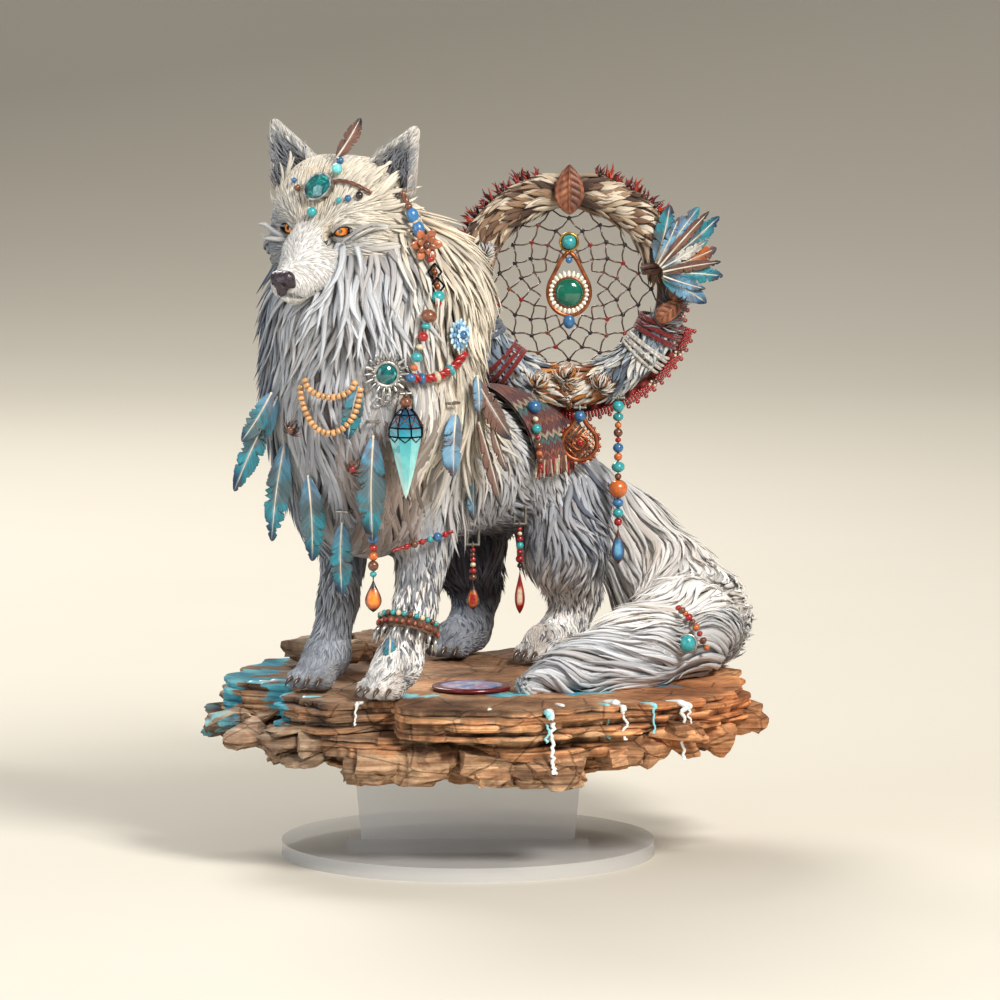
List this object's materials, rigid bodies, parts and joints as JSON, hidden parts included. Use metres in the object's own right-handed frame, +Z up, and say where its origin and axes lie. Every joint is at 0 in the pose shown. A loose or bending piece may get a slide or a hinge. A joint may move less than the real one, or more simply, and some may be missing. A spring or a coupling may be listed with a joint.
{
  "type": "wolf figure with dreamcatcher on a display stand",
  "caption": "Painted wolf figure on a layered rock ledge, carrying a dreamcatcher hoop, swinging feathers and bead pendants, lifted out of a clear slotted disc stand.",
  "frame": {"origin": "centre of the stand disc's underside, on the table", "axes": "+Z up; -Y towards the viewer, the side the wolf's chest faces; +X to the viewer's right, where the hoop is"},
  "size_m": [0.1596, 0.1408, 0.2109],
  "materials": {
    "clear_acrylic": "clear, lightly frosted edge",
    "rock": "painted, matt",
    "painted_wood": "painted, satin",
    "steel": "plain",
    "fur": "sculpted resin fur, painted and dry-brushed",
    "nose_and_claw": "satin dark paint",
    "amber_eye": "gloss",
    "silver": "aged silver",
    "turquoise": "polished",
    "feather": "soft sheen",
    "red_cord": "beaded and wound",
    "pale_flower": "painted",
    "tan_bead": "turned, waxed",
    "copper_drop": "aged copper",
    "bracelet_leather": "worn",
    "willow": "oiled",
    "hide": "wrapped hide and fur",
    "quill": "dyed",
    "carved_wood": "carved, waxed",
    "green_gem": "polished",
    "blue_bead": "glazed"
  },
  "bodies": {
    "stand": {"base_disc": "clear_acrylic"},
    "figure": {"stand_tab": "clear_acrylic", "rock_top_slab": "rock", "rock_middle_ledge": "rock", "rock_lower_ledge": "rock", "rubble_left": "rock", "rubble_front": "rock", "rubble_right": "rock", "rock_back_stones": "rock", "painted_shield": "painted_wood", "foot_pins": "steel", "wolf_torso": "fur", "wolf_mane": "fur", "wolf_head": "fur", "left_ear": "fur", "right_ear": "fur", "nose": "nose_and_claw", "eyes": "amber_eye", "front_left_leg": "fur", "front_right_leg": "fur", "hind_left_leg": "fur", "hind_right_leg": "fur", "tail": "fur", "claws": "nose_and_claw", "brow_setting": "silver", "brow_stone": "turquoise", "brow_beads": "turquoise", "brow_feather": "feather", "cheek_strand": "turquoise", "collar_cord": "red_cord", "collar_beads": "turquoise", "flower_rosette": "pale_flower", "sun_setting": "silver", "sun_stone": "turquoise", "tan_bead_loops": "tan_bead", "left_feather_fan": "feather", "flank_feathers": "feather", "chest_feather_short": "feather", "leg_bracelet": "bracelet_leather", "hanger_pins": "steel", "hoop_rod": "willow", "hide_wrap_upper": "hide", "hide_wrap_lower": "hide", "red_bead_band": "red_cord", "quill_fringe": "quill", "leaf_crest": "carved_wood", "web_threads": "willow", "web_beads": "quill", "web_pendant": "green_gem", "hoop_feather_spray": "feather", "saddle_cloth": "red_cord"},
    "crystal": {"crystal_pendant": "turquoise"},
    "long_plume": {"long_feather": "feather"},
    "leg_plume": {"leg_feather": "feather"},
    "shoulder_plume": {"shoulder_feather": "feather"},
    "front_pendant": {"front_drop": "copper_drop"},
    "belly_pendant": {"belly_drop": "copper_drop"},
    "flank_pendant": {"flank_drop": "red_cord"},
    "medallion": {"filigree_medallion": "carved_wood"},
    "bead_strand": {"long_bead_strand": "blue_bead"}
  },
  "joints": [
    {"name": "figure_lift", "type": "slide", "parent": "stand", "child": "figure", "axis": [0, 0, 1], "range_m": [0, 0.006]},
    {"name": "crystal_swing", "type": "hinge", "parent": "figure", "child": "crystal", "pos_m": [-0.01673, -0.05871, 0.1365], "axis": [-0.9613, -0.2756, 0], "range_deg": [0, 25]},
    {"name": "long_feather_swing", "type": "hinge", "parent": "figure", "child": "long_plume", "pos_m": [-0.02572, -0.05684, 0.1285], "axis": [-0.9998, -0.0175, 0], "range_deg": [0, 25]},
    {"name": "leg_feather_swing", "type": "hinge", "parent": "figure", "child": "leg_plume", "pos_m": [-0.03444, -0.04673, 0.1025], "axis": [-0.9336, 0.3584, 0], "range_deg": [0, 25]},
    {"name": "shoulder_feather_swing", "type": "hinge", "parent": "figure", "child": "shoulder_plume", "pos_m": [-0.0033, -0.04686, 0.1325], "axis": [-0.682, -0.7314, 0], "range_deg": [0, 25]},
    {"name": "front_drop_swing", "type": "hinge", "parent": "figure", "child": "front_pendant", "pos_m": [-0.02587, -0.04844, 0.1025], "axis": [-0.9998, -0.0175, 0], "range_deg": [0, 25]},
    {"name": "belly_drop_swing", "type": "hinge", "parent": "figure", "child": "belly_pendant", "pos_m": [0.0014, 0.003, 0.087], "axis": [-1, 0, 0], "range_deg": [-12, 12]},
    {"name": "flank_drop_swing", "type": "hinge", "parent": "figure", "child": "flank_pendant", "pos_m": [0.0146, 0.018, 0.091], "axis": [-1, 0, 0], "range_deg": [-12, 12]},
    {"name": "medallion_swing", "type": "hinge", "parent": "figure", "child": "medallion", "pos_m": [0.0316, 0.0282, 0.1229], "axis": [-1, 0, 0], "range_deg": [0, 25]},
    {"name": "long_strand_swing", "type": "hinge", "parent": "figure", "child": "bead_strand", "pos_m": [0.0425, 0.0296, 0.1255], "axis": [-1, 0, 0], "range_deg": [0, 25]}
  ]
}
